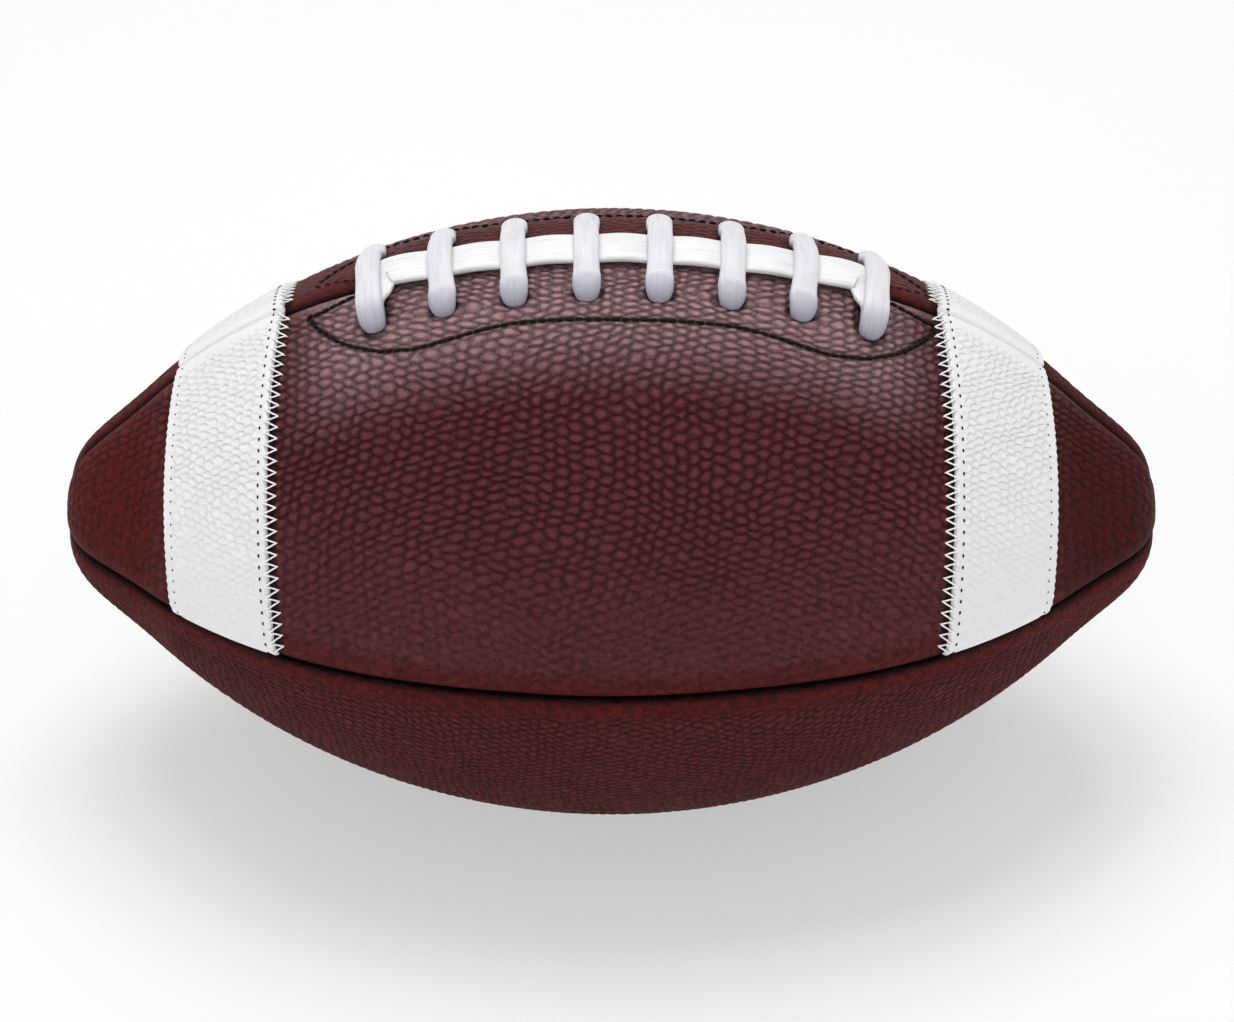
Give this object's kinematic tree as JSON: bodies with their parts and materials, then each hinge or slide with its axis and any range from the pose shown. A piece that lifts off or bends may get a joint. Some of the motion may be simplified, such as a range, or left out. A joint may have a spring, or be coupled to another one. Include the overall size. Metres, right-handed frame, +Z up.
{
  "type": "american football",
  "caption": "American football: pebbled brown leather panels sewn over linings and a bladder, white end stripes, white lacing on top, inflation valve, small flat to rest on.",
  "frame": {"origin": "on the ground under the middle of the ball, in the plane of the flat it rests on", "axes": "+X along the ball's long axis, +Z up through the laced seam, -Y towards the side the picture shows"},
  "size_m": [0.29, 0.16, 0.1665],
  "materials": {
    "leather": "pebbled, satin",
    "white_leather": "pebbled, satin",
    "lace_white": "smooth, satin",
    "lining_cloth": "woven, matt",
    "facing_leather": "rough, matt",
    "bladder_rubber": "matt",
    "valve_rubber": "matt"
  },
  "bodies": {
    "root": {"panel_front_upper": "leather", "panel_rear_upper": "leather", "panel_front_lower": "leather", "panel_rear_lower": "leather", "lining_front_upper": "lining_cloth", "lining_rear_upper": "lining_cloth", "lining_front_lower": "lining_cloth", "lining_rear_lower": "lining_cloth", "stripe_front_left": "white_leather", "stripe_front_right": "white_leather", "stripe_rear_left": "white_leather", "stripe_rear_right": "white_leather", "lace": "lace_white", "lace_facing_front": "facing_leather", "lace_facing_rear": "facing_leather", "lace_tongue": "facing_leather", "bladder": "bladder_rubber", "valve_body": "valve_rubber", "valve_plug": "valve_rubber"}
  },
  "joints": []
}
